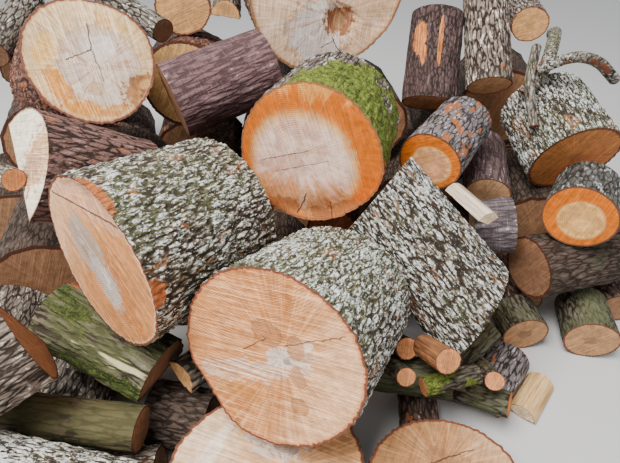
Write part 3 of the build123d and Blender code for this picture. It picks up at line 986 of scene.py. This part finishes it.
class LOGS_OT_ringed_logs(Operator):
    """Dress the rounds with a fresh orange ring"""

    bl_idname = "logs.ringed_logs"
    bl_label = "Ringed rounds"

    def mossy_bark(self):
        bark = Bark("mossy_bark", (0.17, 0.13, 0.105), (0.36, 0.32, 0.29))
        bark.speckle(0.6, 0.016, (0.40, 0.40, 0.37))
        bark.moss(0.46, (1.4, -0.8, -0.9))
        bark.torn((0.19, 0.02, 0.0), (0.03, 0.05, 0.03), shade(bark.bark.inner_bark, 0.5))
        return bark.finished(0.006)

    def large_end(self):
        wood = bpy.context.scene.log_wood
        face = Sawn("ringed_end", (0.98, 0.68, 0.53), (-0.03, -0.01))
        face.rings(0.6, (0.60, 0.32, 0.20))
        face.saw(-18, 0.45, (0.72, 0.44, 0.32), 0.0045)
        face.arcs((0.25, 0.30), 0.0075, 0.6, (1.0, 0.82, 0.70))
        face.half(95, 0.045, 0.10, 0.85, (0.72, 0.31, 0.10))
        face.half(60, 0.12, 0.16, 0.7, (0.52, 0.17, 0.045))
        face.lay(1 - face.blob((-0.018, 0.035), (0.142, 0.150), ragged=0.12), wood.orange)
        band = face.blob((-0.018, 0.030), (0.150, 0.158), ragged=0.15)
        inner = face.blob((-0.018, 0.035), (0.136, 0.144), ragged=0.15)
        face.lay(band * (1 - inner) * 0.8, (0.84, 0.55, 0.22))
        face.half(-90, 0.16, 0.19, 0.6, (0.84, 0.45, 0.12))
        face.rays(0.55, shade(wood.orange, 0.5), 0.52, 0.72)
        face.rays(0.14, (0.9, 0.66, 0.45), 0.42, 0.3)
        face.rings(0.5, shade(wood.orange, 0.6))
        face.crack((-0.13, 0.03), (0.0, -0.02), 0.0012)
        face.crack((-0.10, 0.06), (0.05, 0.0), 0.0010)
        face.patch((-0.07, 0.165), (0.055, 0.028), (0.50, 0.17, 0.05), ragged=0.95, strength=0.75)
        face.patch((0.03, 0.172), (0.035, 0.022), (0.34, 0.12, 0.045), ragged=0.95, strength=0.75)
        face.patch((0.11, 0.145), (0.06, 0.03), (0.42, 0.15, 0.05), turn=-25, ragged=0.95, strength=0.8)
        face.patch((-0.02, 0.145), (0.014, 0.03), (0.85, 0.55, 0.34), turn=10, ragged=0.95, strength=0.7)
        face.crack((-0.03, 0.19), (-0.012, 0.115), 0.0022)
        face.crack((0.07, 0.185), (0.05, 0.13), 0.0018)
        face.rim_of_bark(0.026, (0.30, 0.12, 0.05))
        return face.finished()

    def small_end(self, name, heart, turn):
        wood = bpy.context.scene.log_wood
        face = Sawn(name, wood.orange, (0.004, 0.006))
        face.rings(0.35, shade(wood.orange, 0.6))
        face.lay(face.blob((0.006, 0.008), (0.062, 0.060), ragged=0.12), (0.85, 0.50, 0.17))
        face.lay(face.blob((0.006, 0.008), (0.054, 0.052), ragged=0.15), heart)
        face.lay(face.ring * face.blob((0.006, 0.008), (0.054, 0.052)) * 0.75, shade(heart, 0.5))
        face.patch((0.012, 0.02), (0.026, 0.022), shade(heart, 1.3), ragged=1.1, strength=0.7)
        face.patch((-0.012, -0.012), (0.020, 0.016), (0.62, 0.32, 0.11), ragged=1.1, strength=0.7)
        face.rays(0.4, shade(wood.orange, 0.6))
        face.saw(turn, 0.08, shade(heart, 1.2), 0.0035)
        face.rim_of_bark(0.05, (0.12, 0.055, 0.03))
        return face.finished()

    def execute(self, context):
        dress_all("finest", {"mossy_round": ("mossy", self.mossy_bark(), self.large_end())})
        yew = self.small_end("yew_end", (0.82, 0.43, 0.14), 12)
        pink = self.small_end("pink_end", (0.80, 0.38, 0.18), 60)
        grey = brown_bark("yew_bark", (0.20, 0.17, 0.17), (0.34, 0.32, 0.33), 0.35, 0.75)
        dark = Bark("dark_yew_bark", (0.12, 0.115, 0.10), (0.30, 0.31, 0.29))
        dark.speckle(0.45, 0.02, (0.42, 0.44, 0.42))
        dress_all("large", {
            "yew_ring_round": ("thin", dark.finished(), yew),
            "yew_log": ("thin", grey, pink),
        })
        return {"FINISHED"}


class LOGS_OT_pale_rounds(Operator):
    """Dress the cream rounds with grey hearts, stains and rot"""

    bl_idname = "logs.pale_rounds"
    bl_label = "Pale rounds"

    def pale_end(self):
        wood = bpy.context.scene.log_wood
        face = Sawn("cream_end", wood.cream, (0.0, 0.02))
        face.rays(0.5, (0.84, 0.66, 0.44), 0.5, 0.7)
        face.rays(0.7, (0.56, 0.25, 0.06), 0.45, 0.30)
        face.half(140, 0.06, 0.16, 0.5, (0.66, 0.34, 0.09))
        face.half(40, 0.08, 0.18, 0.45, (0.60, 0.30, 0.08))
        face.weathered((0.012, 0.022), (0.112, 0.112), 0, 0.35, (0.68, 0.52, 0.42))
        face.patch((0.03, -0.03), (0.05, 0.04), (0.82, 0.72, 0.64), strength=0.7)
        face.rings(0.5, (0.42, 0.30, 0.22))
        face.halo((0.012, 0.022), 0.118, 0.108, 0.3, 0.75, (0.40, 0.27, 0.18))
        face.patch((-0.12, 0.04), (0.026, 0.05), (0.70, 0.25, 0.02), strength=0.9)
        face.patch((-0.08, 0.12), (0.06, 0.024), (0.70, 0.26, 0.025), turn=30, strength=0.9)
        face.patch((0.0, 0.15), (0.05, 0.016), (0.62, 0.24, 0.04), strength=0.8)
        face.patch((-0.11, -0.06), (0.045, 0.028), (0.80, 0.44, 0.10), turn=-40, strength=0.7)
        face.patch((0.10, -0.09), (0.05, 0.02), (0.78, 0.42, 0.12), turn=40, strength=0.6)
        face.saw(4, 0.4, (0.9, 0.82, 0.74), 0.0045)
        face.crack((0.03, -0.10), (0.012, -0.03))
        face.crack((0.012, -0.03), (-0.07, -0.02), 0.0018)
        face.crack((0.012, -0.03), (0.0, 0.06), 0.0015)
        face.knot((-0.028, 0.075), (0.020, 0.017), (0.66, 0.42, 0.24))
        face.patch((0.11, 0.115), (0.065, 0.048), (0.40, 0.17, 0.055), ragged=1.1, strength=0.9)
        face.patch((0.13, 0.125), (0.03, 0.03), (0.16, 0.07, 0.03), ragged=1.1, strength=0.8)
        face.patch((0.125, 0.10), (0.02, 0.014), (0.66, 0.38, 0.14), ragged=1.1, strength=0.6)
        face.rim_of_bark(0.035, (0.17, 0.065, 0.04), (0.55, 0.24, 0.10))
        return face.finished()

    def rotten_end(self):
        face = Sawn("rotten_end", (0.92, 0.60, 0.36), (0.0, 0.06))
        face.patch((0.15, 0.1), (0.13, 0.2), (0.90, 0.52, 0.26), ragged=0.8, strength=0.7)
        face.rays(0.6, (0.90, 0.74, 0.58), 0.45, 0.62)
        face.rays(0.45, (0.55, 0.28, 0.13), 0.38, 0.26)
        face.weathered((-0.03, 0.11), (0.10, 0.10), 0, 0.6, (0.80, 0.68, 0.62))
        face.halo((-0.03, 0.11), 0.108, 0.10, 0.6, 0.8, (0.38, 0.16, 0.06))
        face.patch((0.045, 0.08), (0.055, 0.045), (0.40, 0.15, 0.05))
        face.patch((0.05, 0.075), (0.022, 0.03), (0.60, 0.32, 0.15))
        face.crack((0.02, 0.13), (0.06, 0.19))
        face.crack((-0.02, 0.16), (0.03, 0.14), 0.0018)
        face.saw(8, 0.35, (0.9, 0.8, 0.72), 0.005)
        face.rim_of_bark(0.03, (0.36, 0.17, 0.08), (0.60, 0.30, 0.14))
        return face.finished()

    def execute(self, context):
        bark = brown_bark("pale_round_bark", (0.23, 0.095, 0.065), (0.42, 0.23, 0.16), 0.15, 0.5)
        rotten_bark = brown_bark("rotten_bark", (0.22, 0.13, 0.09), (0.42, 0.32, 0.24), 0.3, 0.3)
        ochre = dull_end("ochre_end", (0.55, 0.30, 0.11))
        dress_all("large", {
            "pale_round": ("with_hollow", bark, self.pale_end()),
            "rotten_round": ("with_rot", rotten_bark, self.rotten_end()),
            "ochre_rotten_log": ("rough", bark, ochre),
        })
        return {"FINISHED"}


class LOGS_OT_foot_rounds(Operator):
    """Dress the two rounds that stand at the foot of the heap"""

    bl_idname = "logs.foot_rounds"
    bl_label = "Rounds at the foot"

    def left_end(self):
        wood = bpy.context.scene.log_wood
        face = Sawn("foot_left_end", (0.76, 0.40, 0.18), (0.04, -0.02))
        face.half(190, 0.05, 0.14, 0.75, (0.88, 0.64, 0.42))
        face.half(-60, 0.03, 0.14, 0.6, (0.68, 0.28, 0.08))
        face.rings(0.55, (0.42, 0.19, 0.08))
        face.rays(0.5, wood.pale, 0.5, 0.7)
        face.saw(-70, 0.45, (0.90, 0.74, 0.58), 0.005)
        face.weathered((0.02, -0.08), (0.07, 0.042), 15, 0.7, (0.72, 0.58, 0.48))
        face.knot((0.045, -0.075), (0.03, 0.02), (0.56, 0.40, 0.30), 20)
        face.patch((-0.13, -0.05), (0.018, 0.08), (0.92, 0.76, 0.60), turn=25, ragged=0.8, strength=0.7)
        face.rim_of_bark(0.03)
        return face.finished()

    def right_end(self):
        face = Sawn("foot_right_end", (0.47, 0.215, 0.08), (0.0, -0.05))
        face.rings(0.5, (0.30, 0.13, 0.05))
        face.rays(0.5, (0.70, 0.46, 0.26), 0.5, 0.7)
        face.saw(28, 0.6, (0.30, 0.14, 0.06), 0.006)
        face.half(0, 0.02, 0.13, 0.4, (0.72, 0.48, 0.28))
        face.patch((0.02, -0.07), (0.06, 0.022), (0.34, 0.16, 0.07), turn=20, strength=0.6)
        face.crack((-0.05, -0.05), (0.08, -0.09), 0.0014)
        face.rim_of_bark(0.035)
        return face.finished()

    def execute(self, context):
        bark = shade_darkened_bark("foot_bark")
        dress_all("large", {
            "bottom_round": ("rough", bark, self.left_end()),
            "bottom_round_right": ("rough", bark, self.right_end()),
        })
        return {"FINISHED"}


class LOGS_OT_split_logs(Operator):
    """Dress the split logs and pieces, with their torn faces"""

    bl_idname = "logs.split_logs"
    bl_label = "Split logs"

    def strips_of_moss(self):
        bark = Bark("moss_strip_bark", (0.15, 0.125, 0.08), (0.27, 0.235, 0.165), plate=(0.8, 0.5))
        bark.film(0.6, colour=(0.105, 0.12, 0.042))
        bark.moss(0.60, (0, 1.2, 0), 0.35, (0.10, 0.125, 0.028))
        place = bark.rim.stretch((1, 1, 0.12), (2.2, 0, 0)).noise(26.0, 3.0, 0.6)
        bark.lay(place.step(0.63, 0.67) * 0.9, (0.62, 0.55, 0.30))
        bark.torn((0.05, 0.02, 0.31), (0.035, 0.06, 0.03), (0.36, 0.08, 0.04))
        return bark.finished(0.008)

    def pale_end(self):
        face = Sawn("split_pale_end", (0.84, 0.72, 0.55), (0.0, 0.0))
        face.patch((0.05, 0.0), (0.06, 0.10), (0.55, 0.26, 0.09), turn=25, strength=0.85)
        face.patch((0.03, 0.03), (0.03, 0.06), (0.36, 0.20, 0.12), turn=30, strength=0.6)
        face.rays(0.5, (0.90, 0.84, 0.72))
        face.saw(70, 0.4, (0.92, 0.86, 0.76))
        face.rim_of_bark(0.03, (0.26, 0.15, 0.10))
        return face.finished()

    def execute(self, context):
        tan_face = Torn("torn_tan", (0.60, 0.36, 0.19), (0.27, 0.13, 0.06)).finished()
        dusky = Torn("torn_dusky", (0.34, 0.24, 0.20), (0.13, 0.075, 0.06), 1.6).finished()
        bright = Torn("torn_bright", (0.74, 0.44, 0.18), (0.42, 0.19, 0.06)).finished()
        creamy = Torn("torn_cream", (0.84, 0.57, 0.27), (0.50, 0.25, 0.08)).finished()
        streaked = Torn("torn_streaked", (0.84, 0.70, 0.52), (0.24, 0.13, 0.08), 2.2).finished()
        grey = brown_bark("split_grey_bark", (0.23, 0.18, 0.14), (0.42, 0.37, 0.31), 0.35, 0.2)
        red = brown_bark("split_red_bark", (0.22, 0.115, 0.095), (0.38, 0.25, 0.22), 0.1, 0.3)
        cherry = brown_bark("split_cherry_bark", (0.19, 0.16, 0.155), (0.34, 0.31, 0.31), 0.25, 0.4)
        dull = dull_end("split_dull_end")
        orange = fresh_end("split_orange_end", (0.68, 0.36, 0.14))
        striped = fresh_end("split_cream_end", (0.80, 0.60, 0.36))
        dress_all("large", {
            "split_log_left": ("long_flakes", red, self.pale_end(), dusky),
            "half_log_left": ("deep", grey, dull, tan_face),
            "mossy_split_log": ("deep", self.strips_of_moss(), dull, dusky),
        })
        dress_all("medium", {
            "split_cherry_log": ("thin", cherry, orange, bright),
            "cream_chunk": ("thin", creamy, striped, creamy),
            "white_striped_splinter": ("thin", streaked, striped, streaked),
        })
        dress_all("small", {
            "splintered_billet": ("ridged", grey, orange, bright),
            "pale_bark_piece": ("deep", grey, orange, tan_face),
            "gnarled_bark_piece": ("deep", grey, dull, dusky),
        })
        return {"FINISHED"}


class LOGS_OT_brown_logs(Operator):
    """Dress the brown, grey and striped logs"""

    bl_idname = "logs.brown_logs"
    bl_label = "Brown and grey logs"

    def stripped_bark(self):
        bark = Bark("stripped_cherry_bark", (0.105, 0.062, 0.058), (0.20, 0.14, 0.13), plate=(1.2, 1.6))
        bright = (0.56, 0.20, 0.06)
        bark.torn((-0.058, -0.07, 0.20), (0.024, 0.03, 0.055), bright)
        bark.torn((-0.04, -0.08, 0.14), (0.010, 0.03, 0.035), bright)
        bark.torn((0.012, -0.09, 0.19), (0.008, 0.03, 0.085), bright)
        return bark.finished()

    def lined_bark(self, name, body, ridge, lichen=0.2):
        """Smooth bark with short lines across the log."""
        # The body darkened to 0.4 is this bark's furrow colour, partly painted shade in the furrows
        bark = Bark(name, body, ridge, shade(body, 0.4), (0.8, 0.5))
        lines = bark.rim.stretch((18, 18, 330)).noise(1.0, 3.0, 0.6)
        bark.lay(lines.step(0.56, 0.64) * 0.6, shade(body, 0.35))
        bark.lay(lines.step(0.40, 0.30) * 0.45, shade(ridge, 1.25))
        bark.speckle(lichen, 0.02, shade(ridge, 1.4))
        return bark.finished()

    def execute(self, context):
        tan_end = fresh_end("brown_tan_end", (0.58, 0.32, 0.16))
        orange = fresh_end("brown_orange_end", (0.70, 0.36, 0.14), saw=70)
        cream = fresh_end("brown_cream_end", (0.80, 0.58, 0.34))
        dull = dull_end("brown_dull_end")
        brown = self.lined_bark("brown_lined_bark", (0.165, 0.092, 0.09), (0.30, 0.20, 0.20), 0.15)
        cracked = brown_bark("cracked_grey_bark", (0.25, 0.19, 0.15), (0.55, 0.49, 0.42), 0.4, 0.15)
        dress_all("large", {
            "brown_bark_log": ("flaky", brown, dull),
            "dark_cherry_log": ("flaky", self.stripped_bark(), tan_end),
            "grey_brown_log": ("ridged", cracked, tan_end),
        })
        plum = self.lined_bark("plum_bark", (0.15, 0.095, 0.09), (0.27, 0.20, 0.20), 0.2)
        striped = self.lined_bark("striped_bark", (0.16, 0.12, 0.125), (0.34, 0.29, 0.30), 0.2)
        grey = brown_bark("weathered_bark", (0.20, 0.165, 0.135), (0.40, 0.37, 0.33), 0.3, 0.1)
        dress_all("medium", {
            "purple_brown_log": ("flaky", plum, tan_end),
            "striped_bark_log": ("thin", striped, cream),
            "rough_bark_log": ("ridged", shade_darkened_bark("rough_dark_bark"), dull),
            "small_orange_round": ("ridged", cracked, orange),
            "orange_round_top_right": ("ridged", cracked, orange),
            "brown_round_top_right": ("ridged", plum, dull),
            "grey_corner_log": ("ridged", grey, dull),
            "dark_furrowed_log": ("ridged", shade_darkened_bark("furrowed_dark_bark"), dull),
        })
        return {"FINISHED"}


class LOGS_OT_branches(Operator):
    """Dress the straight branches and billets, with lichen, algae and moss"""

    bl_idname = "logs.branches"
    bl_label = "Branches and billets"

    def olive_bark(self):
        bark = Bark("olive_bark", (0.115, 0.085, 0.045), (0.17, 0.14, 0.08), plate=(0.8, 0.5))
        bark.film(0.55, (0, -2, 0), (0.095, 0.092, 0.034))
        bark.moss(0.70, (0, 6, 0), 1.0, (0.05, 0.058, 0.016))
        return bark.finished(0.002)

    def execute(self, context):
        wood = context.scene.log_wood
        tan_end = fresh_end("branch_end", (0.64, 0.26, 0.10))
        orange = fresh_end("billet_end", wood.orange, (0.8, 0.45, 0.12))
        knotted = fresh_end("knotted_end", (0.52, 0.28, 0.13), (0.20, 0.10, 0.05), 40)
        dull = dull_end("branch_dull_end")
        green = Bark("green_branch_bark", (0.13, 0.115, 0.075), (0.24, 0.225, 0.16))
        green.film(0.7)
        green = green.finished(0.002)
        mossy = Bark("mossy_branch_bark", (0.10, 0.08, 0.055), (0.26, 0.28, 0.24))
        mossy.moss(0.6)
        mossy = mossy.finished(0.004)
        torn = Torn("torn_branch_side", (0.52, 0.22, 0.085), (0.17, 0.065, 0.03)).finished()
        grey = brown_bark("grey_branch_bark", (0.22, 0.19, 0.15), (0.42, 0.40, 0.35), 0.45, 0.1)
        white = lichen_bark("white_lichen_bark", 1.15)
        dress_all("medium", {
            "olive_log": ("thinnest", self.olive_bark(), dull),
            "white_lichen_corner_log": ("rough", white, dull),
            "weathered_round": ("low_ridges", green, knotted),
            "knotted_log": ("low_ridges", green, knotted),
        })
        dress_all("small", {
            "olive_billet": ("low_ridges", green, orange),
            "torn_orange_log": ("thinnest", green, orange),
            "mossy_thin_branch": ("low_ridges", mossy, tan_end),
            "cut_branch_right": ("thinnest", green, tan_end),
            "small_branch_upper": ("thinnest", green, tan_end),
            "small_branch_lower": ("thinnest", green, tan_end),
            "torn_branch": ("low_ridges", torn, tan_end),
            "left_branch_stub": ("thinnest", grey, tan_end),
            "grey_branch": ("thinnest", grey, dull),
            "grey_top_left_log": ("low_ridges", grey, dull),
        })
        return {"FINISHED"}


class LOGS_OT_limbs(Operator):
    """Dress the thin crooked branches at the back"""

    bl_idname = "logs.limbs"
    bl_label = "Crooked branches"

    def execute(self, context):
        bark = Bark("limb_bark", (0.20, 0.165, 0.13), (0.36, 0.33, 0.29), plate=(1.4, 0.8))
        bark.film(0.45)
        bark.speckle(0.5, 0.008, (0.42, 0.42, 0.38))
        bark = bark.finished(0.002)
        end = fresh_end("limb_end", (0.70, 0.45, 0.24))
        for name in ("grey_limb_long", "grey_limb_arched", "grey_limb_short"):
            dress(name, None, "limb", (bark, end))
        return {"FINISHED"}


class LOGS_OT_hidden_logs(Operator):
    """Dress the logs that lie inside and under the heap"""

    bl_idname = "logs.hidden_logs"
    bl_label = "Logs inside the heap"

    def execute(self, context):
        dark = shade_darkened_bark("shade_darkened_bark")
        brown = brown_bark("outer_brown_bark", (0.18, 0.105, 0.08), (0.35, 0.245, 0.20), 0.25, 0.35)
        grey = brown_bark("outer_grey_bark", (0.18, 0.145, 0.115), (0.38, 0.335, 0.28), 0.4, 0.2)
        end = dull_end("hidden_end", (0.34, 0.17, 0.085))
        dress_all("hidden", {
            "ground_logs_front": ("hidden", dark, end),
            "ground_logs_middle": ("hidden", dark, end),
            "inner_logs": ("hidden", dark, end),
            "ground_logs_left": ("hidden", grey, end),
            "ground_logs_right": ("hidden", brown, end),
            "ground_logs_back": ("hidden", brown, end),
        })
        return {"FINISHED"}


class LOGS_OT_stage(Operator):
    """Set the floor, the light and the camera"""

    bl_idname = "logs.stage"
    bl_label = "Set the stage"

    def execute(self, context):
        settings = context.scene.log_stage
        bpy.ops.object.select_all(action="DESELECT")
        bpy.ops.mesh.primitive_plane_add(size=settings.floor_size)
        floor = context.object
        floor.name = "floor"
        material, tree, shader = new_material("pale_floor")
        shader.inputs["Base Color"].default_value = rgba(settings.floor_colour)
        shader.inputs["Roughness"].default_value = 0.9
        floor.data.materials.append(material)

        world = bpy.data.worlds.new("studio")
        world.use_nodes = True
        background = world.node_tree.nodes["Background"]
        background.inputs["Color"].default_value = rgba(settings.sky_colour)
        background.inputs["Strength"].default_value = settings.sky_strength
        context.scene.world = world
        bpy.ops.object.light_add(type="AREA", location=lamp_place)
        lamp = context.object
        lamp.data.energy = settings.key_strength
        lamp.data.size = lamp_size
        lamp.rotation_euler = (Vector(lamp_target) - lamp.location).to_track_quat("-Z", "Y").to_euler()

        bpy.ops.object.camera_add(
            location=(*camera_ahead, camera_height), rotation=(radians(90 - camera_pitch), 0, 0),
        )
        camera = context.object
        camera.data.sensor_width = sensor_width
        camera.data.lens = photo_focal * sensor_width / photo_width
        camera.data.clip_start = 0.02
        context.scene.camera = camera
        return {"FINISHED"}


class LOGS_PT_panel(Panel):
    """The settings and steps of the heap"""

    bl_idname = "LOGS_PT_panel"
    bl_label = "Heap of logs"
    bl_space_type = "VIEW_3D"
    bl_region_type = "UI"
    bl_category = "Logs"

    def draw(self, context):
        for group in settings_groups:
            settings = getattr(context.scene, group)
            box = self.layout.box()
            for name in settings.__annotations__:
                box.prop(settings, name)
        for operator in steps:
            self.layout.operator(operator.bl_idname)


settings_groups = {"log_bark": BarkSettings, "log_wood": WoodSettings, "log_stage": StageSettings}
steps = (
    LOGS_OT_lichen_logs,
    LOGS_OT_ringed_logs,
    LOGS_OT_pale_rounds,
    LOGS_OT_foot_rounds,
    LOGS_OT_split_logs,
    LOGS_OT_brown_logs,
    LOGS_OT_branches,
    LOGS_OT_limbs,
    LOGS_OT_hidden_logs,
    LOGS_OT_stage,
)


def register():
    for group in (*settings_groups.values(), *steps, LOGS_PT_panel):
        bpy.utils.register_class(group)
    for name, group in settings_groups.items():
        setattr(bpy.types.Scene, name, PointerProperty(type=group))


def unregister():
    for name in settings_groups:
        delattr(bpy.types.Scene, name)
    for group in (LOGS_PT_panel, *reversed(steps), *settings_groups.values()):
        bpy.utils.unregister_class(group)


def main():
    register()
    for step in steps:
        group, name = step.bl_idname.split(".")
        getattr(getattr(bpy.ops, group), name)()


if __name__ == "__main__":
    main()
